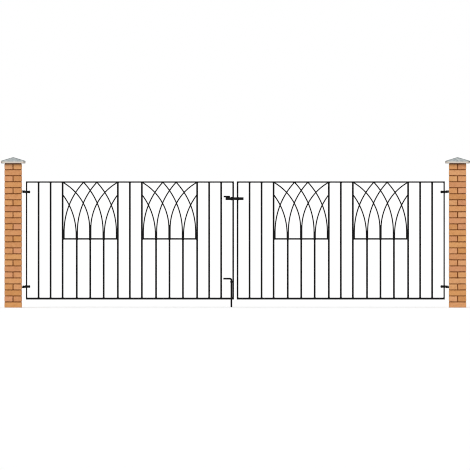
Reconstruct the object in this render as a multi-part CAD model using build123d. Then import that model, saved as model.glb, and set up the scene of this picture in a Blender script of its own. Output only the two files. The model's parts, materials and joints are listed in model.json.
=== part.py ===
"""Pair of wrought-iron driveway gate leaves between two brick piers.

Millimetres, +Z up. The origin is the centre of the left pier's base, +X runs
towards the right pier and -Y faces the street. The leaves are shown closed.
"""

import math
import os

from build123d import *

# Brick piers and their stone caps
brick_length = 215
brick_height = 65
mortar_joint = 10
course_count = 24
cap_side = 305
cap_edge = 32
cap_rise = 46
cap_tip = 10
cap_chamfer = 4
drip_inset = 16
drip_width = 10
drip_depth = 6

# Leaf layout, centre to centre of the upright bars
hinge_gap = 60
plain_bay = 150
outer_plain_bays = 3
middle_plain_bays = 2
panel_width = 690
panel_outer_bay = 177
meeting_gap = 55
ground_gap = 100
leaf_height = 1476

# Bar sections
frame_depth = 40
hinge_stile_width = 16
closing_stile_width = 20
top_rail_height = 17
bottom_rail_height = 24
bar_side = 22
panel_rail_height = 19
arch_side = 15

# Arched tracery, measured upwards from the panel rail
tracery_height = 692
long_arch_leg = 80
long_arch_reach = 238
corner_arch_leg = 123
side_arch_leg = 42
side_arch_height = 529
fork_weld = 40

# Hinges: a hook built into the pier carries an eye bolt through the stile
upper_hinge_drop = 128
lower_hinge_rise = 158
pivot_gap = 26
hook_height = 30
hook_width = 26
hook_root = 9
hook_arm = 8
hook_pin = 16
pin_end = 3
tang_side = 16
tang_length = 80
eye_width = 30
bore_play = 0.1
eye_play = 0.3
shank_width = 20
shank_play = 0.2
shank_end = 4
nut_width = 30
nut_thickness = 10
hinge_block_side = 30
hinge_block_length = 24

# Sliding latch on the street side of the meeting stiles
latch_drop = 216
latch_bar_height = 34
latch_bar_thickness = 10
latch_bar_length = 225
latch_tail = 95
latch_play = 0.5
latch_wall = 4
latch_guide_length = 40
latch_keeper_length = 24
latch_grip_width = 20
latch_grip_length = 79
latch_grip_tail = 24
latch_weld = 1

# Drop bolt beside the left meeting stile
drop_rod_width = 22
drop_rod_offset = 22
drop_rod_tip = 4
drop_grip_rise = 261
drop_grip_length = 101
drop_grip_bend = 20
drop_play = 0.3
drop_wall = 4
drop_plate = 4
drop_guide_height = 20
drop_guide_drop = 50

# Places worked out from the sizes above
course_pitch = brick_height + mortar_joint
pier_side = brick_length
pier_height = course_count * course_pitch
pier_face = pier_side / 2
hinge_stile_x = pier_face + hinge_gap
leaf_pitch = (2 * outer_plain_bays + middle_plain_bays) * plain_bay + 2 * panel_width
closing_stile_x = hinge_stile_x + leaf_pitch
centre_x = closing_stile_x + meeting_gap / 2
keeper_stile_x = closing_stile_x + meeting_gap
pivot_x = pier_face + pivot_gap
leaf_top = ground_gap + leaf_height
upper_hinge_height = leaf_top - upper_hinge_drop
lower_hinge_height = ground_gap + lower_hinge_rise
latch_height = leaf_top - latch_drop
drop_grip_height = ground_gap + drop_grip_rise
bar_foot = ground_gap + bottom_rail_height
bar_head = leaf_top - top_rail_height
panel_rail_top = bar_head - tracery_height
panel_rail_foot = panel_rail_top - panel_rail_height
rail_start = hinge_stile_x + hinge_stile_width / 2
rail_end = closing_stile_x - closing_stile_width / 2
outer_panel_x = hinge_stile_x + outer_plain_bays * plain_bay
inner_panel_x = outer_panel_x + panel_width + middle_plain_bays * plain_bay
eye_height = hook_height - hook_arm - eye_play
front_face = -frame_depth / 2


def block(x0, x1, y0, y1, z0, z1):
    """A box between two corners."""
    size = Box(x1 - x0, y1 - y0, z1 - z0, align=(Align.MIN, Align.MIN, Align.MIN))
    return Pos(x0, y0, z0) * size


def post(x, y, z0, z1, diameter):
    """An upright round bar."""
    bar = Cylinder(diameter / 2, z1 - z0, align=(Align.CENTER, Align.CENTER, Align.MIN))
    return Pos(x, y, z0) * bar


def rod(x0, x1, y, z, diameter):
    """A round bar along X."""
    bar = Cylinder(diameter / 2, x1 - x0, align=(Align.CENTER, Align.CENTER, Align.MIN))
    return Pos(x0, y, z) * Rot(0, 90, 0) * bar


def square_bar(x, z0, z1):
    """An upright square bar of the leaf."""
    half = bar_side / 2
    return block(x - half, x + half, -half, half, z0, z1)


def group(solids):
    """Separate solids that share one node."""
    return Compound(children=list(solids))


def across(shape):
    """The same piece on the right leaf."""
    return mirror(shape, about=Plane.YZ.offset(centre_x))


# Brick pier with the pockets for its two hinge hooks
def pier():
    half = pier_side / 2
    shaft = block(-half, half, -half, half, 0, pier_height)
    for height in (lower_hinge_height, upper_hinge_height):
        shaft -= tang(height)
    return shaft


# Pyramid cap, chamfered under its edge and grooved to throw off drips
def cap():
    half = cap_side / 2
    slab = block(-half, half, -half, half, pier_height, pier_height + cap_edge)
    slab = chamfer(slab.faces().sort_by(Axis.Z)[0].edges(), cap_chamfer)
    foot = Pos(0, 0, pier_height + cap_edge) * Rectangle(cap_side, cap_side)
    tip = Pos(0, 0, pier_height + cap_edge + cap_rise) * Rectangle(cap_tip, cap_tip)
    outer = cap_side - 2 * drip_inset
    inner = outer - 2 * drip_width
    ring = Rectangle(outer, outer) - Rectangle(inner, inner)
    groove = extrude(Pos(0, 0, pier_height) * ring, drip_depth)
    return slab + loft([foot.face(), tip.face()]) - groove


# Square tang of a hinge hook, which fills its pocket in the pier
def tang(height):
    half = tang_side / 2
    return block(pier_face - tang_length, pier_face, -half, half, height - half, height + half)


# Hinge hook with its pin pointing up
def hinge_hook(height):
    half_width = hook_width / 2
    foot = height - hook_height / 2
    head = height + hook_height / 2
    root = block(pier_face, pier_face + hook_root, -half_width, half_width, foot, head)
    arm = block(pier_face, pivot_x, -half_width, half_width, foot, foot + hook_arm)
    nose = post(pivot_x, 0, foot, foot + hook_arm, hook_width)
    pin = post(pivot_x, 0, foot, head + pin_end, hook_pin)
    return root + arm + nose + pin + tang(height)


def shank_height(height):
    return height + hook_height / 2 - eye_height / 2


# Threaded eye bolt that turns on the hook's pin
def eye_bolt(height):
    head = height + hook_height / 2
    axis = shank_height(height)
    end = hinge_block_end() + nut_thickness + shank_end
    eye = post(pivot_x, 0, head - eye_height, head, eye_width)
    shank = rod(pivot_x, end, 0, axis, shank_width)
    bore = post(pivot_x, 0, head - eye_height, head, hook_pin + 2 * bore_play)
    return eye + shank - bore


def hinge_block_end():
    return hinge_stile_x + hinge_stile_width / 2 + hinge_block_length


# One hexagonal nut on the eye bolt, with flats above and below
def nut(x, height):
    sides = RegularPolygon(nut_width / 2, 6, major_radius=False, rotation=30)
    hexagon = sides - Circle(shank_width / 2 + bore_play)
    turned = Pos(x, 0, shank_height(height)) * Rot(0, 90, 0)
    return turned * extrude(hexagon, nut_thickness)


# Outer and inner nut of one hinge
def hinge_nuts(height):
    outer = nut(hinge_stile_x - hinge_stile_width / 2 - nut_thickness, height)
    inner = nut(hinge_block_end(), height)
    return group([outer, inner])


# The lower hook's pin points up and the upper one's down, so a leaf can't be lifted off
def upper(make):
    about = Plane.XY.offset(upper_hinge_height)
    return mirror(make(upper_hinge_height), about=about)


def lower(make):
    return make(lower_hinge_height)


# Hinge stile with the two welded blocks that the eye bolts pass through
def hinge_stile():
    half_width = hinge_stile_width / 2
    half_block = hinge_block_side / 2
    start = hinge_stile_x - half_width
    end = hinge_stile_x + half_width
    stile = block(start, end, front_face, -front_face, ground_gap, leaf_top)
    for place in (lower, upper):
        stile += place(
            lambda height: block(
                end,
                hinge_block_end(),
                -half_block,
                half_block,
                shank_height(height) - half_block,
                shank_height(height) + half_block,
            )
        )
        stile -= place(
            lambda height: rod(
                start,
                hinge_block_end(),
                0,
                shank_height(height),
                shank_width + 2 * shank_play,
            )
        )
    return stile


def closing_stile():
    half = closing_stile_width / 2
    return block(
        closing_stile_x - half,
        closing_stile_x + half,
        front_face,
        -front_face,
        ground_gap,
        leaf_top,
    )


def top_rail():
    return block(rail_start, rail_end, front_face, -front_face, bar_head, leaf_top)


def bottom_rail():
    return block(rail_start, rail_end, front_face, -front_face, ground_gap, bar_foot)


# Full-height bars from one place on, one plain bay apart
def plain_bars(first_x, count):
    places = [first_x + i * plain_bay for i in range(count)]
    return group([square_bar(x, bar_foot, bar_head) for x in places])


# Where the three short bars of a panel stand, from its first side bar
def short_bar_places():
    middle = panel_width / 2
    return [panel_outer_bay, middle, panel_width - panel_outer_bay]


def short_bars(panel_x):
    places = [panel_x + x for x in short_bar_places()]
    return group([square_bar(x, bar_foot, panel_rail_foot) for x in places])


# The rail that carries the arches, between the side bars of each panel
def panel_rails():
    rails = []
    for panel_x in (outer_panel_x, inner_panel_x):
        start = panel_x + bar_side / 2
        end = panel_x + panel_width - bar_side / 2
        half = bar_side / 2
        rails.append(block(start, end, -half, half, panel_rail_foot, panel_rail_top))
    return group(rails)


# Flat outline of one arch: an upright leg, then an arc that leans towards +X
def arch_face(foot_x, leg, reach, height):
    rise = height - leg
    radius = (reach**2 + rise**2) / (2 * reach)
    half = arch_side / 2
    sweep_angle = math.asin(rise / radius) + 2 * arch_side / radius
    centre = (foot_x + radius, leg)

    def on_arc(distance, angle):
        x = centre[0] - distance * math.cos(angle)
        return (x, centre[1] + distance * math.sin(angle))

    near, far = radius - half, radius + half
    foot = Line((foot_x - half, 0), (foot_x + half, 0))
    near_leg = Line((foot_x + half, 0), on_arc(near, 0))
    near_arc = ThreePointArc(
        on_arc(near, 0), on_arc(near, sweep_angle / 2), on_arc(near, sweep_angle)
    )
    head = Line(on_arc(near, sweep_angle), on_arc(far, sweep_angle))
    far_arc = ThreePointArc(
        on_arc(far, sweep_angle), on_arc(far, sweep_angle / 2), on_arc(far, 0)
    )
    far_leg = Line(on_arc(far, 0), (foot_x - half, 0))
    return make_face([foot, near_leg, near_arc, head, far_arc, far_leg])


# Eight interlaced arches of one panel, four and their mirror image, welded where they cross
def tracery(panel_x):
    first, middle, _ = short_bar_places()
    beside = arch_side / 2
    side_face = bar_side / 2
    leaning_right = [
        (side_face + beside, long_arch_leg, long_arch_reach, tracery_height),
        (first + beside, long_arch_leg, long_arch_reach, tracery_height),
    ]
    leaning_left = [
        (middle - beside, corner_arch_leg, middle - beside - side_face, tracery_height),
        (first - beside, side_arch_leg, first - beside - side_face, side_arch_height),
    ]
    centre_line = Plane.YZ.offset(panel_width / 2)
    half_panel = [arch_face(*arch) for arch in leaning_right]
    for foot_x, leg, reach, height in leaning_left:
        other_way = arch_face(panel_width - foot_x, leg, reach, height)
        half_panel.append(mirror(other_way, about=centre_line))
    net = half_panel[0]
    for face in half_panel[1:]:
        net += face
    net += mirror(net, about=centre_line)
    for x, leg in ((first, side_arch_leg), (middle, corner_arch_leg), (panel_width - first, side_arch_leg)):
        net += Pos(x, leg) * Rectangle(arch_side, 2 * fork_weld)
    window_width = panel_width - bar_side
    window = Pos(panel_width / 2, tracery_height / 2) * Rectangle(window_width, tracery_height)
    flat = net & window
    upright = Plane((panel_x, arch_side / 2, panel_rail_top), x_dir=(1, 0, 0), z_dir=(0, -1, 0))
    return extrude(upright * flat, arch_side)


# Rectangular sleeve on the front of a stile, which the latch bar slides through
def latch_sleeve(start, end):
    inner_height = latch_bar_height + 2 * latch_play
    inner_depth = latch_bar_thickness + 2 * latch_play
    back = front_face
    front = back - inner_depth - 2 * latch_wall
    half = inner_height / 2
    outside = block(
        start,
        end,
        front,
        back,
        latch_height - half - latch_wall,
        latch_height + half + latch_wall,
    )
    inside = block(
        start,
        end,
        front + latch_wall,
        back - latch_wall,
        latch_height - half,
        latch_height + half,
    )
    return outside - inside


def latch_guide():
    end = closing_stile_x + closing_stile_width / 2
    return latch_sleeve(end - latch_guide_length, end)


def latch_keeper():
    start = keeper_stile_x - closing_stile_width / 2
    return latch_sleeve(start, start + latch_keeper_length)


# Flat sliding bar with a round grip welded along its top edge
def latch_bolt():
    start = closing_stile_x - latch_tail
    back = front_face - latch_wall - latch_play
    middle = back - latch_bar_thickness / 2
    half = latch_bar_height / 2
    bar = block(
        start,
        start + latch_bar_length,
        back - latch_bar_thickness,
        back,
        latch_height - half,
        latch_height + half,
    )
    grip_start = start - latch_grip_tail
    grip_z = latch_height + half + latch_grip_width / 2 - latch_weld
    grip = rod(grip_start, grip_start + latch_grip_length, middle, grip_z, latch_grip_width)
    return bar + grip


drop_rod_x = closing_stile_x - drop_rod_offset
drop_sleeve_side = drop_rod_width + 2 * (drop_play + drop_wall)
drop_rod_y = front_face - drop_plate - drop_sleeve_side / 2


# Plate and sleeve that the drop bolt slides through, once on the stile and once on the rail
def drop_bolt_guide(foot):
    half = drop_sleeve_side / 2
    head = foot + drop_guide_height
    plate_end = closing_stile_x + closing_stile_width / 2
    plate_front = front_face - drop_plate
    plate = block(drop_rod_x - half, plate_end, plate_front, front_face, foot, head)
    sleeve = block(
        drop_rod_x - half,
        drop_rod_x + half,
        plate_front - drop_sleeve_side,
        plate_front,
        foot,
        head,
    )
    bore = post(drop_rod_x, drop_rod_y, foot, head, drop_rod_width + 2 * drop_play)
    return plate + sleeve - bore


def drop_bolt_guides():
    return group(
        [drop_bolt_guide(ground_gap), drop_bolt_guide(drop_grip_height - drop_guide_drop)]
    )


# Round rod bent over at its top into a level grip
def drop_bolt():
    bend_start = drop_grip_height - drop_grip_bend
    grip_start = drop_rod_x - drop_grip_bend
    rod_part = post(drop_rod_x, drop_rod_y, drop_rod_tip, bend_start, drop_rod_width)
    grip = rod(
        drop_rod_x - drop_grip_length,
        grip_start,
        drop_rod_y,
        drop_grip_height,
        drop_rod_width,
    )
    section = Pos(drop_rod_x, drop_rod_y, bend_start) * Circle(drop_rod_width / 2)
    hub = Axis((grip_start, drop_rod_y, bend_start), (0, -1, 0))
    bend = revolve(section, hub, 90)
    return rod_part + bend + grip


def leaf_nodes():
    """Nodes of one leaf, with names that the side goes in front of."""
    middle_x = outer_panel_x + panel_width
    closing_x = inner_panel_x + panel_width
    return {
        "hinge_stile": hinge_stile(),
        "closing_stile": closing_stile(),
        "top_rail": top_rail(),
        "bottom_rail": bottom_rail(),
        "hinge_side_bars": plain_bars(hinge_stile_x + plain_bay, outer_plain_bays),
        "middle_bars": plain_bars(middle_x, middle_plain_bays + 1),
        "closing_side_bars": plain_bars(closing_x, outer_plain_bays),
        "outer_short_bars": short_bars(outer_panel_x),
        "inner_short_bars": short_bars(inner_panel_x),
        "panel_rails": panel_rails(),
        "outer_tracery": tracery(outer_panel_x),
        "inner_tracery": tracery(inner_panel_x),
        "upper_eye_bolt": upper(eye_bolt),
        "lower_eye_bolt": lower(eye_bolt),
        "upper_hinge_nuts": upper(hinge_nuts),
        "lower_hinge_nuts": lower(hinge_nuts),
    }


def all_nodes():
    nodes = {
        "left_pier": pier(),
        "left_pier_cap": cap(),
        "left_upper_hinge_hook": upper(hinge_hook),
        "left_lower_hinge_hook": lower(hinge_hook),
    }
    for name, shape in leaf_nodes().items():
        nodes["left_" + name] = shape
    for name in list(nodes):
        nodes[name.replace("left_", "right_")] = across(nodes[name])
    nodes["latch_guide"] = latch_guide()
    nodes["latch_keeper"] = latch_keeper()
    nodes["latch_bolt"] = latch_bolt()
    nodes["drop_bolt_guides"] = drop_bolt_guides()
    nodes["drop_bolt"] = drop_bolt()
    return nodes


os.makedirs("parts", exist_ok=True)
for name, shape in all_nodes().items():
    export_step(shape, f"parts/{name}.step")
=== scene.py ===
import json
import math
import random

import bpy
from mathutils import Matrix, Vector

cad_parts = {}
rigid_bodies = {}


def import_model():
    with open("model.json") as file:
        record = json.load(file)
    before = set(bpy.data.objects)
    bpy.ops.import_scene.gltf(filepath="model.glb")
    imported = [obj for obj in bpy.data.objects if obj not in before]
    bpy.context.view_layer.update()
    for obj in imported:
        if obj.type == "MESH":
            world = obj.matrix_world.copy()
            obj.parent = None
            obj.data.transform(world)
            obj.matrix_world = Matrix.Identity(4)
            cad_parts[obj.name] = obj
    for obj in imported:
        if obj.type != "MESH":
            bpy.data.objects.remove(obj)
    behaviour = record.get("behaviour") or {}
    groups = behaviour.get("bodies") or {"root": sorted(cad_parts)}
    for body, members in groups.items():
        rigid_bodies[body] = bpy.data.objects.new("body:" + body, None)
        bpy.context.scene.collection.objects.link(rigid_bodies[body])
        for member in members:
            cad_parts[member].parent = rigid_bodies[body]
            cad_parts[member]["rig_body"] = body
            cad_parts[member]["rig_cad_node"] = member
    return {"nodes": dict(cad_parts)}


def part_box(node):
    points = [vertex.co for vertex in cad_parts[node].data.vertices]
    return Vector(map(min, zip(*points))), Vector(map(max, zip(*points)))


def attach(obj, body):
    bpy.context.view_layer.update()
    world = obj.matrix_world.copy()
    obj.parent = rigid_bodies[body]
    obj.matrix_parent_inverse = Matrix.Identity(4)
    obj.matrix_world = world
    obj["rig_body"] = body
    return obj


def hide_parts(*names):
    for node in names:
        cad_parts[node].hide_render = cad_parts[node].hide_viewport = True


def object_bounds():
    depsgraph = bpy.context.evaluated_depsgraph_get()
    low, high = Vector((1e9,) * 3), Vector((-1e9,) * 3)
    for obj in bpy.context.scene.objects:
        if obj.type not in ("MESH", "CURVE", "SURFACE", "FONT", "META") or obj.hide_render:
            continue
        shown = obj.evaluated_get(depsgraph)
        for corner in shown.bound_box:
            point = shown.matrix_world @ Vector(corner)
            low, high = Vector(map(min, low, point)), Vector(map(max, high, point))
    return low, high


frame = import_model()
cadLow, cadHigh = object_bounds()
random.seed(24)
scene = bpy.context.scene
sides = ("left", "right")
quarterTurn = math.pi / 2
hairline = 1e-4


def clearSelection():
    if bpy.context.mode != "OBJECT":
        bpy.ops.object.mode_set(mode="OBJECT")
    bpy.ops.object.select_all(action="DESELECT")


def pickOnly(*pieces):
    clearSelection()
    for piece in pieces:
        piece.select_set(True)
    bpy.context.view_layer.objects.active = pieces[0]


def settle(piece):
    # the place, turn and size go into the mesh, and the object stays at the origin
    pickOnly(piece)
    bpy.ops.object.transform_apply(location=True, rotation=True, scale=True)


def addBlock(name, low, high):
    low, high = Vector(low), Vector(high)
    clearSelection()
    bpy.ops.mesh.primitive_cube_add(size=1, location=(low + high) / 2)
    block = bpy.context.object
    block.name = name
    block.scale = high - low
    settle(block)
    return block


def addRound(name, middle, radius, length, along, sidesRound=32):
    clearSelection()
    turn = {"x": (0, quarterTurn, 0), "y": (quarterTurn, 0, 0), "z": (0, 0, 0)}[along]
    bpy.ops.mesh.primitive_cylinder_add(
        vertices=sidesRound, radius=radius, depth=length, location=middle, rotation=turn)
    stick = bpy.context.object
    stick.name = name
    settle(stick)
    return stick


def twinOf(piece, name="twin"):
    twin = piece.copy()
    twin.data = piece.data.copy()
    twin.name = name
    scene.collection.objects.link(twin)
    return twin


def joinAs(name, parts):
    for part in parts:
        settle(part)
    pickOnly(*parts)
    if len(parts) > 1:
        bpy.ops.object.join()
    joined = bpy.context.object
    joined.name = name
    joined.data.name = name
    return joined


def editOnly(piece, kind):
    pickOnly(piece)
    bpy.ops.object.mode_set(mode="EDIT")
    bpy.ops.mesh.select_mode(type=kind)
    bpy.ops.mesh.select_all(action="DESELECT")
    bpy.ops.object.mode_set(mode="OBJECT")


def selectFaces(piece, wanted):
    # picks faces by their place or normal and leaves the piece in edit mode
    editOnly(piece, "FACE")
    for face in piece.data.polygons:
        face.select = wanted(face)
    bpy.ops.object.mode_set(mode="EDIT")


def selectEdges(piece, wanted):
    # picks edges by the places of their two ends and leaves the piece in edit mode
    editOnly(piece, "EDGE")
    points = piece.data.vertices
    for edge in piece.data.edges:
        edge.select = wanted(points[edge.vertices[0]].co, points[edge.vertices[1]].co)
    bpy.ops.object.mode_set(mode="EDIT")


def leaveEdit():
    bpy.ops.object.mode_set(mode="OBJECT")


def easeAllEdges(piece, width):
    selectFaces(piece, lambda face: True)
    bpy.ops.mesh.bevel(offset=width, segments=2, affect="EDGES")
    leaveEdit()


def easeSharpEdges(piece, width, segments=2, sharpAngle=34):
    rounding = piece.modifiers.new("easedArrises", "BEVEL")
    rounding.width = width
    rounding.segments = segments
    rounding.limit_method = "ANGLE"
    rounding.angle_limit = math.radians(sharpAngle)
    rounding.use_clamp_overlap = True
    pickOnly(piece)
    bpy.ops.object.modifier_apply(modifier=rounding.name)


def sliceAcross(piece, axis, places):
    # one cut through the whole piece at each place along the axis
    pickOnly(piece)
    bpy.ops.object.mode_set(mode="EDIT")
    normal = [0.0, 0.0, 0.0]
    normal[axis] = 1.0
    for place in places:
        spot = [0.0, 0.0, 0.0]
        spot[axis] = place
        bpy.ops.mesh.select_all(action="SELECT")
        bpy.ops.mesh.bisect(plane_co=spot, plane_no=normal)
    leaveEdit()


def evenPlaces(start, end, step):
    count = max(1, round((end - start) / step))
    return [start + (end - start) * i / count for i in range(1, count)]


def roughen(piece, name, size, strength, middle=0.5, depth=2, group=""):
    # pushes the surface in and out with a cloud pattern, its grain size in metres
    pattern = bpy.data.textures.new(name, "CLOUDS")
    pattern.noise_scale = size
    pattern.noise_depth = depth
    push = piece.modifiers.new(name, "DISPLACE")
    push.texture = pattern
    push.texture_coords = "LOCAL"
    push.strength = strength
    push.mid_level = middle
    push.vertex_group = group
    pickOnly(piece)
    bpy.ops.object.modifier_apply(modifier=push.name)


def levelFoot(piece, level):
    # flattens what a rough surface or a nudge pushes below the level it stands on
    editOnly(piece, "VERT")
    for point in piece.data.vertices:
        point.select = point.co.z < level
    bpy.ops.object.mode_set(mode="EDIT")
    bpy.ops.transform.resize(value=(1, 1, 0), center_override=(0, 0, level))
    leaveEdit()


def cutWith(piece, tool, kind):
    trim = piece.modifiers.new("trim", "BOOLEAN")
    trim.operation = kind
    trim.solver = "EXACT"
    trim.object = tool
    pickOnly(piece)
    bpy.ops.object.modifier_apply(modifier=trim.name)
    bpy.data.objects.remove(tool)


def nodeTwin(node, name):
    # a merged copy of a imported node, with its flat faces joined up
    twin = twinOf(frame["nodes"][node], name)
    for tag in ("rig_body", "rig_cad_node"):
        del twin[tag]
    twin.parent = None
    twin.data.materials.clear()
    pickOnly(twin)
    bpy.ops.object.mode_set(mode="EDIT")
    bpy.ops.mesh.select_all(action="SELECT")
    bpy.ops.mesh.remove_doubles(threshold=0.00001)
    bpy.ops.mesh.dissolve_limited(angle_limit=math.radians(0.6))
    leaveEdit()
    return twin


def easedNode(node, name, arris):
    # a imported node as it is, with its sharp edges eased
    piece = nodeTwin(node, name)
    easeSharpEdges(piece, arris)
    return piece


def dress(piece, body, material, nodes=(), smoothAngle=20):
    # finish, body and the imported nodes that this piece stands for
    pickOnly(piece)
    bpy.ops.object.shade_smooth_by_angle(angle=math.radians(smoothAngle))
    piece.data.materials.clear()
    piece.data.materials.append(material)
    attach(piece, body)
    if nodes:
        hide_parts(*nodes)
    return piece


def paint(red, green, blue):
    # a colour as a picture shows it, 0 to 255, as the linear value a shader takes
    def linear(value):
        value /= 255
        return value / 12.92 if value <= 0.04045 else ((value + 0.055) / 1.055) ** 2.4

    return (linear(red), linear(green), linear(blue), 1.0)


class Finish:
    # a node material laid out with short calls
    def __init__(self, name):
        self.material = bpy.data.materials.new(name)
        self.material.use_nodes = True
        self.nodes = self.material.node_tree.nodes
        self.links = self.material.node_tree.links
        self.shader = self.nodes["Principled BSDF"]
        self.place = self.nodes.new("ShaderNodeTexCoord").outputs["Object"]

    def join(self, source, target):
        if isinstance(source, (int, float, tuple)):
            target.default_value = source
        else:
            self.links.new(source, target)

    def stretched(self, scale):
        mapping = self.nodes.new("ShaderNodeMapping")
        self.join(self.place, mapping.inputs["Vector"])
        mapping.inputs["Scale"].default_value = scale
        return mapping.outputs["Vector"]

    def height(self):
        split = self.nodes.new("ShaderNodeSeparateXYZ")
        self.join(self.place, split.inputs[0])
        return split.outputs["Z"]

    def clouds(self, scale, detail=4.0, rough=0.55, place=None):
        noise = self.nodes.new("ShaderNodeTexNoise")
        self.join(place or self.place, noise.inputs["Vector"])
        noise.inputs["Scale"].default_value = scale
        noise.inputs["Detail"].default_value = detail
        noise.inputs["Roughness"].default_value = rough
        return noise.outputs["Fac"]

    def cells(self, scale):
        cells = self.nodes.new("ShaderNodeTexVoronoi")
        self.join(self.place, cells.inputs["Vector"])
        cells.inputs["Scale"].default_value = scale
        return cells.outputs["Distance"]

    def span(self, value, low, high, newLow=0.0, newHigh=1.0):
        spread = self.nodes.new("ShaderNodeMapRange")
        self.join(value, spread.inputs["Value"])
        for name, number in (("From Min", low), ("From Max", high), ("To Min", newLow), ("To Max", newHigh)):
            spread.inputs[name].default_value = number
        return spread.outputs["Result"]

    def mix(self, share, first, second):
        mixer = self.nodes.new("ShaderNodeMix")
        mixer.data_type = "RGBA"
        # the colours go into this node's inputs 6 and 7 and come out of its output 2
        for socket, source in ((0, share), (6, first), (7, second)):
            self.join(source, mixer.inputs[socket])
        return mixer.outputs[2]

    def times(self, first, second):
        product = self.nodes.new("ShaderNodeMath")
        product.operation = "MULTIPLY"
        self.join(first, product.inputs[0])
        self.join(second, product.inputs[1])
        return product.outputs[0]

    def attribute(self, name):
        reader = self.nodes.new("ShaderNodeAttribute")
        reader.attribute_name = name
        return reader.outputs["Fac"]

    def relief(self, height, distance, strength=1.0, under=None):
        bump = self.nodes.new("ShaderNodeBump")
        bump.inputs["Strength"].default_value = strength
        bump.inputs["Distance"].default_value = distance
        self.join(height, bump.inputs["Height"])
        if under is not None:
            self.join(under, bump.inputs["Normal"])
        return bump.outputs["Normal"]

    def wear(self, colour, roughness, normal, specular):
        self.join(colour, self.shader.inputs["Base Color"])
        self.join(roughness, self.shader.inputs["Roughness"])
        self.join(normal, self.shader.inputs["Normal"])
        self.shader.inputs["Specular IOR Level"].default_value = specular
        return self.material


# Fired clay: each brick has its own tone, with faint drag marks along it
clayLook = {
    "orange": paint(208, 148, 88),
    "pink": paint(210, 149, 108),
    "pale": paint(220, 169, 117),
    "burnt": paint(164, 101, 54),
    "mottle": 34.0,
    "dragMarks": (18, 18, 260),
    "dragDepth": 0.0012,
    "pitPatches": 26.0,
    "pits": 240.0,
    "pitDepth": 0.0010,
    "grain": 520.0,
    "grainDepth": 0.0006,
}


def clayMaterial():
    look = clayLook
    clay = Finish("firedClay")
    tone, hue = clay.attribute("tone"), clay.attribute("hue")
    base = clay.mix(hue, look["orange"], look["pink"])
    base = clay.mix(clay.span(tone, 0.55, 1.0, 0.0, 0.4), base, look["pale"])
    base = clay.mix(clay.span(tone, 0.45, 0.0, 0.0, 0.24), base, look["burnt"])
    mottle = clay.clouds(look["mottle"], 5.0, 0.6)
    base = clay.mix(clay.span(mottle, 0.5, 0.78, 0.0, 0.4), base, look["burnt"])
    base = clay.mix(clay.span(mottle, 0.45, 0.2, 0.0, 0.5), base, look["pale"])
    drag = clay.clouds(1.0, 3.0, 0.6, clay.stretched(look["dragMarks"]))
    base = clay.mix(clay.span(drag, 0.55, 0.75, 0.0, 0.34), base, look["burnt"])
    pitted = clay.span(clay.clouds(look["pitPatches"]), 0.42, 0.62)
    pitMask = clay.times(clay.span(clay.cells(look["pits"]), 0.30, 0.12), pitted)
    base = clay.mix(clay.times(pitMask, 0.55), base, look["burnt"])
    grain = clay.clouds(look["grain"], 3.0, 0.6)
    normal = clay.relief(drag, look["dragDepth"])
    normal = clay.relief(clay.times(pitMask, -1.0), look["pitDepth"], under=normal)
    normal = clay.relief(grain, look["grainDepth"], 0.8, normal)
    return clay.wear(base, clay.span(grain, 0.3, 0.7, 0.78, 0.95), normal, 0.25)


# Mortar: brown, with paler and darker grains of sand
mortarLook = {
    "browns": (paint(116, 62, 24), paint(136, 78, 34)),
    "paleSand": paint(168, 116, 70),
    "darkSand": paint(84, 44, 18),
    "mottle": 22.0,
    "sand": 640.0,
    "sandDepth": 0.0012,
}


def mortarMaterial():
    look = mortarLook
    mortar = Finish("brownMortar")
    sand = mortar.clouds(look["sand"], 3.0, 0.65)
    base = mortar.mix(mortar.clouds(look["mottle"]), *look["browns"])
    base = mortar.mix(mortar.span(sand, 0.55, 0.8, 0.0, 0.5), base, look["paleSand"])
    base = mortar.mix(mortar.span(sand, 0.45, 0.25, 0.0, 0.6), base, look["darkSand"])
    return mortar.wear(base, 0.95, mortar.relief(sand, look["sandDepth"]), 0.15)


# Cast stone: blue-grey slopes, a paler band painted on the slab's edge as light, dirt along hips and edges
# and painted shade under the slab
stoneLook = {
    "slope": (paint(148, 158, 161), paint(200, 204, 202)),
    # a paler colour painted on the slab's front edge, standing in for the light that falls on it
    "paintedLightRim": paint(213, 203, 191),
    "paintedLightHeights": (1.799, 1.801, 1.819, 1.826),
    "grit": paint(102, 106, 106),
    "bloom": paint(212, 211, 204),
    # one dark colour for the dirt on hips and corners and for the painted shade under the slab
    "dirtAndShade": paint(64, 64, 62),
    "mottle": 36.0,
    "speckle": 210.0,
    "speckleDepth": 0.0008,
    "patches": 70.0,
    "waves": 90.0,
    "waveDepth": 0.0016,
}


def stoneMaterial():
    look = stoneLook
    stone = Finish("castStone")
    mottle = stone.span(stone.clouds(look["mottle"], 5.0, 0.65), 0.36, 0.64)
    base = stone.mix(mottle, *look["slope"])
    rise = stone.height()
    # painted light: a band of heights on the slab's edge is made paler
    low, lowEnd, high, highEnd = look["paintedLightHeights"]
    paintedLightShare = stone.times(stone.span(rise, low, lowEnd), stone.span(rise, highEnd, high))
    base = stone.mix(paintedLightShare, base, look["paintedLightRim"])
    speckle = stone.clouds(look["speckle"], 4.0, 0.7)
    base = stone.mix(stone.span(speckle, 0.56, 0.72, 0.0, 0.45), base, look["grit"])
    base = stone.mix(stone.span(speckle, 0.42, 0.28, 0.0, 0.4), base, look["bloom"])
    patches = stone.span(stone.clouds(look["patches"], 6.0, 0.75), 0.38, 0.58, 0.1, 1.0)
    # dirt on the hips and corners, painted shade under the slab
    base = stone.mix(stone.times(stone.attribute("weatherAndShade"), patches), base, look["dirtAndShade"])
    normal = stone.relief(stone.clouds(look["waves"], 5.0, 0.65), look["waveDepth"])
    normal = stone.relief(speckle, look["speckleDepth"], 0.8, normal)
    return stone.wear(base, 0.9, normal, 0.2)


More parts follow.
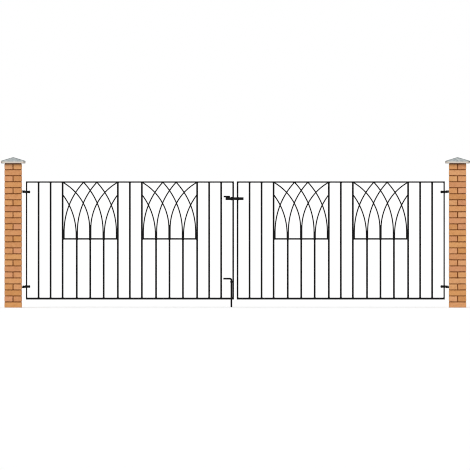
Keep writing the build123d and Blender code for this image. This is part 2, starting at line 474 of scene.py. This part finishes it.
# Black paint: a trace of dust, uneven sheen and a fine orange peel
blackLook = {
    "paint": paint(4, 4, 5),
    "dust": paint(14, 14, 15),
    "dustPatches": 9.0,
    "sheenPatches": 40.0,
    "peel": 330.0,
    "specular": 0.11,
}


def blackMaterial(name, roughLow, roughHigh, peelDepth):
    look = blackLook
    steel = Finish(name)
    dust = steel.span(steel.clouds(look["dustPatches"], 5.0, 0.6), 0.45, 0.75)
    base = steel.mix(dust, look["paint"], look["dust"])
    sheen = steel.span(steel.clouds(look["sheenPatches"]), 0.3, 0.7, roughLow, roughHigh)
    normal = steel.relief(steel.clouds(look["peel"], 2.0, 0.5), peelDepth, 0.6)
    return steel.wear(base, sheen, normal, look["specular"])


clay, mortar, stone = clayMaterial(), mortarMaterial(), stoneMaterial()
steelPaint = blackMaterial("blackPaintedSteel", 0.36, 0.5, 0.0005)
ironPaint = blackMaterial("blackIronmongery", 0.42, 0.58, 0.0008)
print("materials ready")


def steelwork(piece, side, nodes, smoothAngle=20):
    dress(piece, f"{side}_leaf", steelPaint, nodes, smoothAngle)


def ironwork(piece, body, node, smoothAngle=20):
    dress(piece, body, ironPaint, [node], smoothAngle)



# Brick piers, laid one brick thick: two bricks a course, turned from course to course
brickwork = {
    "length": 0.215,
    "width": 0.1025,
    "height": 0.065,
    "joint": 0.010,
    "courses": 24,
    "arris": 0.0022,
    "arrisMargin": 0.0003,
    "step": 0.0105,
    "faceGrain": 0.011,
    "faceWaves": 0.0012,
    "chipGrain": 0.014,
    "chips": 0.0055,
    "jointBack": 0.0018,
    "jointHollow": 0.0045,
    "jointBite": 0.0005,
    "bedStep": 0.012,
    "perpStep": 0.011,
    "sandGrain": 0.006,
    "sandWaves": 0.0012,
    "nudge": 0.0004,
    "tilt": 0.12,
}


def firedBrick():
    b = brickwork
    size = Vector((b["length"], b["width"], b["height"]))
    low, high = Vector((-size.x / 2, -size.y / 2, 0)), Vector((size.x / 2, size.y / 2, size.z))
    brick = addBlock("brick", low, high)
    easeAllEdges(brick, b["arris"])
    for axis in range(3):
        sliceAcross(brick, axis, evenPlaces(low[axis] + b["arris"], high[axis] - b["arris"], b["step"]))
    arrises = brick.vertex_groups.new(name="arrises")
    reach = b["arris"] + b["arrisMargin"]
    for point in brick.data.vertices:
        near = sum(min(point.co[i] - low[i], high[i] - point.co[i]) < reach for i in range(3))
        if near > 1:
            arrises.add([point.index], 1.0, "REPLACE")
    return brick


def squeezeLoop(pad, axis, place, squeeze, centre):
    # draws in one ring of edges, so that the joint is hollow in the middle
    selectEdges(pad, lambda a, b: max(abs(a[axis] - place), abs(b[axis] - place)) < hairline)
    bpy.ops.transform.resize(value=squeeze, center_override=centre)
    leaveEdit()


def hollowShares():
    # half the joint's width, and how far each ring across it is drawn in
    half = brickwork["length"] / 2 - brickwork["jointBack"]
    deep = 1 - brickwork["jointHollow"] / half
    return half, ((0.15, (1 + deep) / 2), (0.5, deep), (0.85, (1 + deep) / 2))


def mortarBed():
    b = brickwork
    half, shares = hollowShares()
    bite = b["jointBite"]
    bed = addBlock("bed", (-half, -half, -bite), (half, half, b["joint"] + bite))
    sliceAcross(bed, 2, [b["joint"] * share for share, _ in shares])
    for axis in (0, 1):
        sliceAcross(bed, axis, evenPlaces(-half, half, b["bedStep"]))
    for share, squeeze in shares:
        level = b["joint"] * share
        squeezeLoop(bed, 2, level, (squeeze, squeeze, 1), (0, 0, level))
    return bed


def mortarPerp():
    b = brickwork
    half, shares = hollowShares()
    bite = b["jointBite"]
    wide = b["joint"] / 2 + bite
    perp = addBlock("perp", (-wide, -half, -bite), (wide, half, b["height"] + bite))
    sliceAcross(perp, 0, [b["joint"] * (share - 0.5) for share, _ in shares])
    sliceAcross(perp, 2, evenPlaces(0, b["height"], b["perpStep"]))
    for share, squeeze in shares:
        place = b["joint"] * (share - 0.5)
        squeezeLoop(perp, 0, place, (1, squeeze, 1), (place, 0, 0))
    return perp


def layBrick(pattern, place, turn):
    b = brickwork
    brick = twinOf(pattern)
    nudge = Vector([random.uniform(-b["nudge"], b["nudge"]) for _ in range(3)])
    brick.location = place + nudge
    flip = random.choice((0, math.pi))
    brick.rotation_euler = (0, 0, turn + flip + math.radians(random.uniform(-b["tilt"], b["tilt"])))
    for label in ("tone", "hue"):
        shade = brick.data.attributes.new(label, "FLOAT", "POINT")
        shade.data.foreach_set("value", [random.random()] * len(brick.data.vertices))
    return brick


def layPier(side, brickPattern, bedPattern, perpPattern):
    b = brickwork
    low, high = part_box(f"{side}_pier")
    middle = (low + high) / 2
    away = (b["width"] + b["joint"]) / 2
    bricks, joints = [], []
    for course in range(b["courses"]):
        # the top course shows two brick ends to the front, the one below it a whole brick
        headers = (b["courses"] - 1 - course) % 2 == 0
        turn = quarterTurn if headers else 0.0
        foot = Vector((middle.x, middle.y, low.z + course * (b["height"] + b["joint"])))
        for half in (-away, away):
            offset = Vector((half, 0, 0)) if headers else Vector((0, half, 0))
            bricks.append(layBrick(brickPattern, foot + offset, turn))
        bed = twinOf(bedPattern)
        bed.location = foot + Vector((0, 0, b["height"]))
        perp = twinOf(perpPattern)
        perp.location = foot
        perp.rotation_euler = (0, 0, quarterTurn - turn)
        joints += [bed, perp]
    wall = joinAs(f"{side}PierBricks", bricks)
    roughen(wall, "clayFaces", b["faceGrain"], b["faceWaves"], 0.62)
    roughen(wall, "chippedArrises", b["chipGrain"], -b["chips"], 0.34, 1, "arrises")
    levelFoot(wall, low.z)
    wall.vertex_groups.clear()
    dress(wall, "posts", clay, [f"{side}_pier"], 50)
    seams = joinAs(f"{side}PierMortar", joints)
    roughen(seams, "mortarFaces", b["sandGrain"], b["sandWaves"], 0.7)
    levelFoot(seams, low.z)
    dress(seams, "posts", mortar, [f"{side}_pier"], 50)


patterns = firedBrick(), mortarBed(), mortarPerp()
for side in sides:
    layPier(side, *patterns)
for pattern in patterns:
    bpy.data.objects.remove(pattern)
print("brick piers laid")

# Cast caps: a slab chamfered under its edge, a low pyramid on it, a drip groove below
capShape = {
    "edge": 0.032,
    "tip": 0.010,
    "chamfer": 0.004,
    "dripInset": 0.016,
    "dripWidth": 0.010,
    "dripDepth": 0.006,
    "arris": 0.0025,
    "margin": 0.004,
    "step": 0.0075,
    "grain": 0.012,
    "wear": 0.0022,
}
capDirtAndShade = {
    "slopeStart": 0.001,
    "slope": 0.12,
    "hip": 1.25,
    "hipWidth": 0.030,
    "slab": 0.1,
    # painted shade, with some grime, under the slab
    "under": 0.85,
    "corner": 1.5,
    "cornerWidth": 0.030,
}


def castCap(side):
    c = capShape
    low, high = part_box(f"{side}_pier_cap")
    middle = (low + high) / 2
    width = high.x - low.x
    shoulder = low.z + c["edge"]
    cap = addBlock(f"{side}PierCap", low, (high.x, high.y, shoulder))
    selectFaces(cap, lambda face: face.normal.z > 0.9)
    bpy.ops.mesh.extrude_region_move(TRANSFORM_OT_translate={"value": (0, 0, high.z - shoulder)})
    shrink = c["tip"] / width
    bpy.ops.transform.resize(value=(shrink, shrink, 1), center_override=(middle.x, middle.y, high.z))
    leaveEdit()
    selectEdges(cap, lambda a, b: max(a.z, b.z) < low.z + hairline)
    bpy.ops.mesh.bevel(offset=c["chamfer"], segments=1, affect="EDGES")
    leaveEdit()
    selectFaces(cap, lambda face: face.normal.z < -0.9)
    bpy.ops.mesh.inset(thickness=c["dripInset"] - c["chamfer"])
    bpy.ops.mesh.inset(thickness=c["dripWidth"])
    leaveEdit()
    inner = width / 2 - c["dripInset"] - c["dripWidth"]

    def inGroove(face):
        reach = max(abs(face.center.x - middle.x), abs(face.center.y - middle.y))
        return face.normal.z < -0.9 and inner < reach < inner + c["dripWidth"]

    selectFaces(cap, inGroove)
    bpy.ops.mesh.extrude_region_move(TRANSFORM_OT_translate={"value": (0, 0, c["dripDepth"])})
    leaveEdit()
    easeSharpEdges(cap, c["arris"], 3, 12)
    for axis in (0, 1):
        sliceAcross(cap, axis, evenPlaces(low[axis] + c["margin"], high[axis] - c["margin"], c["step"]))
    sliceAcross(cap, 2, evenPlaces(low.z + c["chamfer"], shoulder, c["step"]))
    addDirtAndShade(cap, middle, low.z, shoulder, width / 2)
    roughen(cap, "castFaces", c["grain"], c["wear"], 0.75)
    dress(cap, "posts", stone, [f"{side}_pier_cap"], 40)


def addDirtAndShade(cap, middle, foot, shoulder, reach):
    # dirt gathers on the hips and down the slab's corners; the dark under the slab is painted shade with some
    # grime
    d = capDirtAndShade
    darkened = []
    for point in cap.data.vertices:
        x, y = abs(point.co.x - middle.x), abs(point.co.y - middle.y)
        if point.co.z > shoulder + d["slopeStart"]:
            hip = d["hip"] * max(0.0, 1 - abs(x - y) / d["hipWidth"])
            darkened.append(d["slope"] + (1 - d["slope"]) * min(1.0, hip))
        else:
            corner = d["corner"] * max(0.0, 1 - (reach - min(x, y)) / d["cornerWidth"])
            # painted shade with some grime on the slab's underside, chamfer and drip groove
            under = d["under"] if point.co.z < foot + capShape["chamfer"] else d["slab"]
            darkened.append(max(under, min(1.0, corner)))
    cap.data.attributes.new("weatherAndShade", "FLOAT", "POINT").data.foreach_set("value", darkened)


for side in sides:
    castCap(side)
print("caps cast")

# Leaves: flat bar frames filled with square bars, three bars to a group
leafSteel = {"flatArris": 0.0011, "barArris": 0.0015, "groupBars": 3}


def thickness(node):
    low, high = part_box(node)
    return high.y - low.y


def barPlaces(node):
    # where the middles of a group's bars stand along the leaf
    low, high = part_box(node)
    half = thickness(node) / 2
    start, end = low.x + half, high.x - half
    gaps = leafSteel["groupBars"] - 1
    return [start + (end - start) * i / gaps for i in range(gaps + 1)]


def squareBars(side, group, name):
    node = f"{side}_{group}"
    low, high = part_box(node)
    half = thickness(node) / 2
    model = addBlock("bar", (-half, -half, low.z), (half, half, high.z))
    easeAllEdges(model, leafSteel["barArris"])
    bars = []
    for x in barPlaces(node):
        bars.append(twinOf(model))
        bars[-1].location.x = x
    bpy.data.objects.remove(model)
    steelwork(joinAs(f"{side}{name}", bars), side, [node])


def flatBar(side, node, name):
    bar = addBlock(f"{side}{name}", *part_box(f"{side}_{node}"))
    easeAllEdges(bar, leafSteel["flatArris"])
    steelwork(bar, side, [f"{side}_{node}"])


# Arched panels: each arch is a square bar bent over a former, half lapped where two cross
archWork = {
    "outerBay": 0.177,
    "longArch": {"leg": 0.080, "reach": 0.238, "rise": 0.692},
    "cornerArch": {"leg": 0.123, "rise": 0.692},
    "sideArch": {"leg": 0.042, "rise": 0.529},
    "arris": 0.0011,
    "steps": 22,
    "lapped": 0.965,
    "fork": {"foot": 0.010, "rise": 0.040, "depth": 0.9, "arris": 0.002},
}


def archBend(arch):
    # radius of the bend that takes the arch from its leg to its rise over its reach
    climb = arch["rise"] - arch["leg"]
    return (arch["reach"] ** 2 + climb ** 2) / (2 * arch["reach"])


def archLine(arch, z):
    # where the middle of an arch bar stands at a height above its panel rail
    if z <= arch["leg"]:
        return arch["foot"]
    radius = archBend(arch)
    return arch["foot"] + arch["lean"] * (radius - math.sqrt(max(0.0, radius ** 2 - (z - arch["leg"]) ** 2)))


def bentArch(arch, low, high):
    # bent a little past its end, then cut at the panel's top and at the side it leans to
    a = archWork
    side = high.y - low.y
    radius = archBend(arch)
    sweep = math.asin(min(1.0, (arch["rise"] - arch["leg"]) / radius)) + 2 * side / radius
    clearSelection()
    bpy.ops.mesh.primitive_plane_add(size=side, location=(arch["foot"], 0, low.z))
    bar = bpy.context.object
    settle(bar)
    selectFaces(bar, lambda face: True)
    bpy.ops.mesh.bevel(offset=a["arris"], segments=2, affect="VERTICES")
    bpy.ops.mesh.select_mode(type="FACE")
    bpy.ops.mesh.select_all(action="SELECT")
    bpy.ops.mesh.extrude_region_move(TRANSFORM_OT_translate={"value": (0, 0, arch["leg"])})
    hub = (arch["foot"] + arch["lean"] * radius, 0, low.z + arch["leg"])
    bpy.ops.mesh.spin(steps=a["steps"], angle=sweep, center=hub, axis=(0, -arch["lean"], 0))
    ahead = high.x if arch["lean"] > 0 else low.x
    ends = [((0, 0, high.z), (0, 0, 1)), ((ahead, 0, 0), (arch["lean"], 0, 0))]
    for place, direction in ends:
        bpy.ops.mesh.select_all(action="SELECT")
        bpy.ops.mesh.bisect(plane_co=place, plane_no=direction, use_fill=True, clear_outer=True)
    bpy.ops.mesh.select_all(action="SELECT")
    if arch["lean"] < 0:
        bpy.ops.transform.resize(value=(1, a["lapped"], 1), center_override=(0, 0, 0))
    bpy.ops.mesh.normals_make_consistent(inside=False)
    leaveEdit()
    return bar


def firstFork():
    # how far the panel's outer forks stand from its sides
    return archWork["outerBay"] - thickness("left_middle_bars") / 2


def panelArches(low, high):
    # eight arches: four from one side of the panel and their mirror image
    a = archWork
    half = (high.y - low.y) / 2
    middle = (high.x - low.x) / 2
    first = firstFork()
    layout = (
        (a["longArch"], half, 1, None),
        (a["longArch"], first + half, 1, None),
        (a["cornerArch"], middle - half, -1, middle - half),
        (a["sideArch"], first - half, -1, first - half),
    )
    arches = []
    for shape, distance, lean, reach in layout:
        for end, way in ((low.x, 1), (high.x, -1)):
            arch = dict(shape, foot=end + way * distance, lean=lean * way)
            arch["reach"] = reach or shape["reach"]
            arches.append(arch)
    return arches


def archedPanel(side, where):
    node = f"{side}_{where}_tracery"
    low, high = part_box(node)
    arches = panelArches(low, high)
    bars = [bentArch(arch, low, high) for arch in arches]
    half = (high.y - low.y) / 2
    middle = (low.x + high.x) / 2
    first = firstFork()
    f = archWork["fork"]
    deep = half * f["depth"]
    for x, leg in ((low.x + first, "sideArch"), (middle, "cornerArch"), (high.x - first, "sideArch")):
        top = low.z + archWork[leg]["leg"] + f["rise"]
        fork = addBlock("fork", (x - half, -deep, low.z + f["foot"]), (x + half, deep, top))
        easeAllEdges(fork, f["arris"])
        bars.append(fork)
    steelwork(joinAs(f"{side}{where.capitalize()}Tracery", bars), side, [node])
    return arches


# Welds: a collar round each bar end, a bead in each corner, nuggets where arches cross or end
weldWork = {
    "collarLeg": 0.0045,
    "collarGap": 0.0003,
    "beadRadius": 0.004,
    "beadLength": 0.037,
    "beadStep": 0.006,
    "railBead": (0.8, 0.5, 0.8),
    "nugget": (0.0034, 0.0052, 0.0042),
    "crossingFoot": 0.05,
    "crossingHead": 0.012,
    "crossingStep": 0.004,
    "crossingSink": 0.0012,
    "footSpread": 0.0055,
    "footRise": 0.0005,
    "topSpread": 0.0085,
    "topBack": 0.001,
    "topSink": 0.0008,
    "grain": 0.004,
    "ripple": 0.0016,
}


def crossings(arches, rise):
    # heights at which an arch that leans right meets one that leans left
    step = weldWork["crossingStep"]
    found = []
    for right in (arch for arch in arches if arch["lean"] > 0):
        for left in (arch for arch in arches if arch["lean"] < 0):
            z = weldWork["crossingFoot"]
            while z < min(right["rise"], left["rise"], rise) - weldWork["crossingHead"]:
                before = archLine(right, z) - archLine(left, z)
                after = archLine(right, z + step) - archLine(left, z + step)
                if before < 0 <= after:
                    spread = (after - before) / step
                    found.append((archLine(right, z + step / 2), z + step / 2, spread / 2))
                z += step
    return found


def weldCollar(half):
    leg = weldWork["collarLeg"]
    foot = half + leg
    collar = addBlock("collar", (-foot, -foot, 0), (foot, foot, leg))
    selectFaces(collar, lambda face: face.normal.z > 0.9)
    narrow = (half + weldWork["collarGap"]) / foot
    bpy.ops.transform.resize(value=(narrow, narrow, 1), center_override=(0, 0, leg))
    bpy.ops.mesh.select_all(action="SELECT")
    bpy.ops.mesh.subdivide(number_cuts=2)
    leaveEdit()
    return collar


def cornerBead():
    length = weldWork["beadLength"]
    bead = addRound("bead", (0, 0, 0), weldWork["beadRadius"], length, "y", 8)
    sliceAcross(bead, 1, evenPlaces(-length / 2, length / 2, weldWork["beadStep"]))
    return bead


def weldNugget():
    # a ball with its top pressed flatter
    clearSelection()
    bpy.ops.mesh.primitive_uv_sphere_add(segments=8, ring_count=5, radius=1)
    nugget = bpy.context.object
    selectFaces(nugget, lambda face: face.normal.z > 0.8)
    bpy.ops.transform.resize(value=(0.8, 0.8, 0.9), center_override=(0, 0, 0.8))
    leaveEdit()
    nugget.scale = weldWork["nugget"]
    settle(nugget)
    return nugget


def placed(pattern, place, turn=(0, 0, 0)):
    weld = twinOf(pattern)
    weld.location = place
    weld.rotation_euler = turn
    return weld


def weldLeaf(side, panels):
    w = weldWork
    barHalf = thickness(f"{side}_middle_bars") / 2
    collar, nugget, bead = weldCollar(barHalf), weldNugget(), cornerBead()
    welds = []
    for group, _ in barGroups:
        low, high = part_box(f"{side}_{group}")
        for x in barPlaces(f"{side}_{group}"):
            welds.append(placed(collar, (x, 0, low.z)))
            welds.append(placed(collar, (x, 0, high.z), (math.pi, 0, 0)))
    rail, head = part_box(f"{side}_bottom_rail"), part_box(f"{side}_top_rail")
    for x in (rail[0].x, rail[1].x):
        welds.append(placed(bead, (x, 0, rail[1].z)))
        welds.append(placed(bead, (x, 0, head[0].z)))
    for (low, high), arches in panels:
        half = (high.y - low.y) / 2
        for x, z, slope in crossings(arches, high.z - low.z):
            reach = half * math.sqrt(1 + slope ** 2) / slope
            for way in (-1, 1):
                welds.append(placed(nugget, (x, 0, low.z + z + way * (reach - w["crossingSink"]))))
        for arch in arches:
            for y in (-w["footSpread"], w["footSpread"]):
                welds.append(placed(nugget, (arch["foot"], y, low.z + w["footRise"])))
            if arch["rise"] > archWork["sideArch"]["rise"]:
                x = archLine(arch, arch["rise"] - w["topBack"])
                for edge in (-w["topSpread"], w["topSpread"]):
                    spot = min(max(x + edge, low.x), high.x)
                    welds.append(placed(nugget, (spot, 0, high.z - w["topSink"])))
        for x in (low.x, high.x):
            welds.append(placed(bead, (x, 0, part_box(f"{side}_panel_rails")[0].z)))
            welds[-1].scale = w["railBead"]
    for pattern in (collar, nugget, bead):
        bpy.data.objects.remove(pattern)
    joined = joinAs(f"{side}LeafWelds", welds)
    roughen(joined, "weldRipples", w["grain"], w["ripple"])
    steelwork(joined, side, (), 60)


barGroups = (
    ("hinge_side_bars", "HingeSideBars"),
    ("middle_bars", "MiddleBars"),
    ("closing_side_bars", "ClosingSideBars"),
    ("outer_short_bars", "OuterShortBars"),
    ("inner_short_bars", "InnerShortBars"),
)
plainFlats = (("top_rail", "TopRail"), ("bottom_rail", "BottomRail"), ("closing_stile", "ClosingStile"))
workedFlats = (("hinge_stile", "HingeStile"), ("panel_rails", "PanelRails"))
for side in sides:
    for group, name in barGroups:
        squareBars(side, group, name)
    for node, name in plainFlats:
        flatBar(side, node, name)
    for node, name in workedFlats:
        flat = easedNode(f"{side}_{node}", f"{side}{name}", leafSteel["flatArris"])
        steelwork(flat, side, [f"{side}_{node}"])
    panels = [(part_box(f"{side}_{where}_tracery"), archedPanel(side, where)) for where in ("outer", "inner")]
    weldLeaf(side, panels)
print("leaves framed and welded")

# Hinges: hooks in the piers, eye bolts through the stiles, chamfered hexagonal nuts
hingeWork = {
    "arris": 0.0012,
    "shank": 0.020,
    "boreGap": 0.0001,
    "nutThick": 0.010,
    "nutTurned": 1.002,
    "nutChamfer": 0.17,
    "nutArris": 0.0004,
    "threadPitch": 0.0018,
    "threadDepth": 0.0005,
    "threadStop": 0.001,
}


def chamferedNut(low, high):
    # hexagon with flats above and below, its corners turned off, bored for the bolt
    h = hingeWork
    thick, flats = high.x - low.x, high.z - low.z
    corner = flats / 2 / math.cos(math.pi / 6)
    nut = addRound("nut", (0, 0, 0), corner, thick, "x", 6)
    nut.rotation_euler = (math.pi / 6, 0, 0)
    settle(nut)
    turned = addRound("turned", (0, 0, 0), corner * h["nutTurned"], thick, "x", 48)
    selectEdges(turned, lambda a, b: abs(a.x - b.x) < hairline)
    bpy.ops.mesh.bevel(offset=thick * h["nutChamfer"], segments=2, affect="EDGES")
    leaveEdit()
    cutWith(nut, turned, "INTERSECT")
    hole = addRound("hole", (0, 0, 0), h["shank"] / 2 + h["boreGap"], thick * 2, "x")
    cutWith(nut, hole, "DIFFERENCE")
    return nut


def threadedEnd(start, end, z):
    # thread on the bolt end that shows beyond the inner nut
    h = hingeWork
    rings = []
    place = start + h["threadPitch"] / 2
    while place < end:
        clearSelection()
        bpy.ops.mesh.primitive_torus_add(
            location=(place, 0, z), rotation=(0, quarterTurn, 0), major_segments=32, minor_segments=6,
            major_radius=h["shank"] / 2, minor_radius=h["threadDepth"])
        rings.append(bpy.context.object)
        place += h["threadPitch"]
    return rings


def hangHinge(side, level):
    h = hingeWork
    prefix, title = f"{side}_{level}", f"{side}{level.capitalize()}"
    hook = easedNode(f"{prefix}_hinge_hook", f"{title}HingeHook", h["arris"])
    ironwork(hook, "posts", f"{prefix}_hinge_hook")
    nutsLow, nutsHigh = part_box(f"{prefix}_hinge_nuts")
    thick, axis = h["nutThick"], (nutsLow.z + nutsHigh.z) / 2
    nuts = []
    for x in (nutsLow.x + thick / 2, nutsHigh.x - thick / 2):
        nuts.append(chamferedNut(Vector((0, 0, nutsLow.z)), Vector((thick, 0, nutsHigh.z))))
        nuts[-1].location = (x, 0, axis)
    nuts = joinAs(f"{title}HingeNuts", nuts)
    easeSharpEdges(nuts, h["nutArris"], 1)
    ironwork(nuts, f"{side}_leaf", f"{prefix}_hinge_nuts")
    eye = easedNode(f"{prefix}_eye_bolt", f"{title}Eye", h["arris"])
    low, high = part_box(f"{prefix}_eye_bolt")
    if side == "left":
        thread = threadedEnd(nutsHigh.x, high.x - h["threadStop"], axis)
    else:
        thread = threadedEnd(low.x + h["threadStop"], nutsLow.x, axis)
    eye = joinAs(f"{title}EyeBolt", [eye] + thread)
    ironwork(eye, f"{side}_leaf", f"{prefix}_eye_bolt")


for side in sides:
    for level in ("upper", "lower"):
        hangHinge(side, level)
print("hinges hung")

# Sliding latch and drop bolt
latchWork = {
    "barHeight": 0.034,
    "barThick": 0.010,
    "tail": 0.024,
    "corner": 0.004,
    "arris": 0.0012,
    "gripLength": 0.079,
    "gripRadius": 0.010,
    "gripRound": 0.0035,
    "beadRadius": 0.0065,
    "beadShort": 0.006,
    "beadStep": 0.005,
}
dropWork = {"radius": 0.011, "sides": 28, "bend": 0.020, "bendSteps": 10, "roundEnd": 0.003}


def latchBolt():
    w = latchWork
    low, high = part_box("latch_bolt")
    middle = (low.y + high.y) / 2
    barLow = (low.x + w["tail"], middle - w["barThick"] / 2, low.z)
    bar = addBlock("bar", barLow, (high.x, middle + w["barThick"] / 2, low.z + w["barHeight"]))
    selectEdges(bar, lambda a, b: abs(a.y - b.y) > hairline)
    bpy.ops.mesh.bevel(offset=w["corner"], segments=4, affect="EDGES")
    leaveEdit()
    easeSharpEdges(bar, w["arris"], 2, 50)
    gripEnd = low.x + w["gripLength"]
    gripMiddle = ((low.x + gripEnd) / 2, middle, high.z - w["gripRadius"])
    grip = addRound("grip", gripMiddle, w["gripRadius"], gripEnd - low.x, "x")
    selectFaces(grip, lambda face: abs(face.normal.x) > 0.9)
    bpy.ops.mesh.bevel(offset=w["gripRound"], segments=4, affect="EDGES")
    leaveEdit()
    beadMiddle = ((gripEnd + barLow[0]) / 2, middle, low.z + w["barHeight"])
    bead = addRound("bead", beadMiddle, w["beadRadius"], gripEnd - barLow[0] - w["beadShort"], "x", 10)
    sliceAcross(bead, 0, evenPlaces(barLow[0], gripEnd, w["beadStep"]))
    roughen(bead, "gripWeld", weldWork["grain"], weldWork["ripple"])
    ironwork(joinAs("latchBolt", [bar, grip, bead]), "sliding_latch", "latch_bolt", 30)


def dropBolt():
    w = dropWork
    low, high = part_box("drop_bolt")
    radius, bend = w["radius"], w["bend"]
    x, y = high.x - radius, (low.y + high.y) / 2
    bendFoot = high.z - radius - bend
    hub = (x - bend, y, bendFoot)
    clearSelection()
    bpy.ops.mesh.primitive_circle_add(
        vertices=w["sides"], radius=radius, fill_type="NGON", location=(x, y, low.z))
    rod = bpy.context.object
    settle(rod)
    selectFaces(rod, lambda face: True)
    bpy.ops.mesh.extrude_region_move(TRANSFORM_OT_translate={"value": (0, 0, bendFoot - low.z)})
    bpy.ops.mesh.spin(steps=w["bendSteps"], angle=quarterTurn, center=hub, axis=(0, 1, 0))
    bpy.ops.mesh.extrude_region_move(TRANSFORM_OT_translate={"value": (low.x - x + bend, 0, 0)})
    bpy.ops.mesh.select_all(action="SELECT")
    bpy.ops.mesh.normals_make_consistent(inside=False)
    leaveEdit()
    selectFaces(rod, lambda face: len(face.vertices) == w["sides"])
    bpy.ops.mesh.bevel(offset=w["roundEnd"], segments=3, affect="EDGES")
    leaveEdit()
    rod.name = "dropBolt"
    ironwork(rod, "drop_rod", "drop_bolt", 40)


latchBolt()
dropBolt()
ironGuides = (
    ("latch_guide", "latchGuide", "left_leaf"),
    ("latch_keeper", "latchKeeper", "right_leaf"),
    ("drop_bolt_guides", "dropBoltGuides", "left_leaf"),
)
for node, name, body in ironGuides:
    ironwork(easedNode(node, name, hingeWork["arris"]), body, node)
print("latch and drop bolt fitted")

# Plain stage: pale floor, white behind, soft even lamps
stageLook = {"floorSize": 240, "floorColour": (0.8, 0.8, 0.8, 1.0), "floorLift": 0.27, "ambient": 0.5}
lamps = (
    ("keyLamp", 1.6, 30, (0.45, 1.0, -0.75)),
    ("fillLamp", 0.45, 60, (-0.8, 0.6, -0.4)),
    ("backLamp", 0.45, 60, (-0.3, -1.0, -0.7)),
)


def buildStage():
    # a matt floor with a faint glow that only the camera sees
    clearSelection()
    floorMiddle = ((cadLow.x + cadHigh.x) / 2, 0, 0)
    bpy.ops.mesh.primitive_plane_add(size=stageLook["floorSize"], location=floorMiddle)
    floor = bpy.context.object
    floor.name = "stageFloor"
    look = bpy.data.materials.new("paleFloor")
    look.use_nodes = True
    nodes, links = look.node_tree.nodes, look.node_tree.links
    shader = nodes["Principled BSDF"]
    shader.inputs["Base Color"].default_value = stageLook["floorColour"]
    shader.inputs["Roughness"].default_value = 0.9
    shader.inputs["Specular IOR Level"].default_value = 0.0
    rays = nodes.new("ShaderNodeLightPath")
    glow, nothing = nodes.new("ShaderNodeEmission"), nodes.new("ShaderNodeEmission")
    glow.inputs["Strength"].default_value = stageLook["floorLift"]
    nothing.inputs["Strength"].default_value = 0.0
    seen, both = nodes.new("ShaderNodeMixShader"), nodes.new("ShaderNodeAddShader")
    links.new(rays.outputs["Is Camera Ray"], seen.inputs[0])
    links.new(nothing.outputs[0], seen.inputs[1])
    links.new(glow.outputs[0], seen.inputs[2])
    links.new(shader.outputs[0], both.inputs[0])
    links.new(seen.outputs[0], both.inputs[1])
    links.new(both.outputs[0], nodes["Material Output"].inputs["Surface"])
    floor.data.materials.append(look)


def buildWorld():
    # white where it is seen or mirrored, softer where it lights
    world = bpy.data.worlds.new("softStudio")
    scene.world = world
    world.use_nodes = True
    nodes, links = world.node_tree.nodes, world.node_tree.links
    nodes.clear()
    rays = nodes.new("ShaderNodeLightPath")
    either, also = nodes.new("ShaderNodeMath"), nodes.new("ShaderNodeMath")
    either.operation = also.operation = "MAXIMUM"
    links.new(rays.outputs["Is Camera Ray"], either.inputs[0])
    links.new(rays.outputs["Is Glossy Ray"], either.inputs[1])
    links.new(either.outputs[0], also.inputs[0])
    links.new(rays.outputs["Is Transmission Ray"], also.inputs[1])
    soft, white = nodes.new("ShaderNodeBackground"), nodes.new("ShaderNodeBackground")
    soft.inputs["Strength"].default_value = stageLook["ambient"]
    white.inputs["Strength"].default_value = 1.0
    for background in (soft, white):
        background.inputs["Color"].default_value = (1, 1, 1, 1)
    mix = nodes.new("ShaderNodeMixShader")
    out = nodes.new("ShaderNodeOutputWorld")
    links.new(also.outputs[0], mix.inputs[0])
    links.new(soft.outputs[0], mix.inputs[1])
    links.new(white.outputs[0], mix.inputs[2])
    links.new(mix.outputs[0], out.inputs["Surface"])


def addLamp(name, strength, spread, aim):
    lamp = bpy.data.lights.new(name, "SUN")
    lamp.energy = strength
    lamp.angle = math.radians(spread)
    holder = bpy.data.objects.new(name, lamp)
    holder.rotation_euler = Vector(aim).to_track_quat("-Z", "Y").to_euler()
    scene.collection.objects.link(holder)


buildStage()
buildWorld()
for lamp in lamps:
    addLamp(*lamp)

# Long lens, square to the front, like a drawn elevation
cameraPlace = {"across": 2.7705, "up": 0.906, "back": 163.06}
cameraLens = {"length": 1000, "sensor": 36, "nearest": 10, "farthest": 600}
cameraData = bpy.data.cameras.new("frontCamera")
cameraData.lens = cameraLens["length"]
cameraData.sensor_width = cameraLens["sensor"]
cameraData.clip_start = cameraLens["nearest"]
cameraData.clip_end = cameraLens["farthest"]
camera = bpy.data.objects.new("frontCamera", cameraData)
camera.location = (cameraPlace["across"], -cameraPlace["back"], cameraPlace["up"])
camera.rotation_euler = (quarterTurn, 0, 0)
scene.collection.objects.link(camera)
scene.camera = camera
scene.view_settings.view_transform = "Standard"
scene.cycles.filter_width = 1.0

clearSelection()
print("stage and camera set")
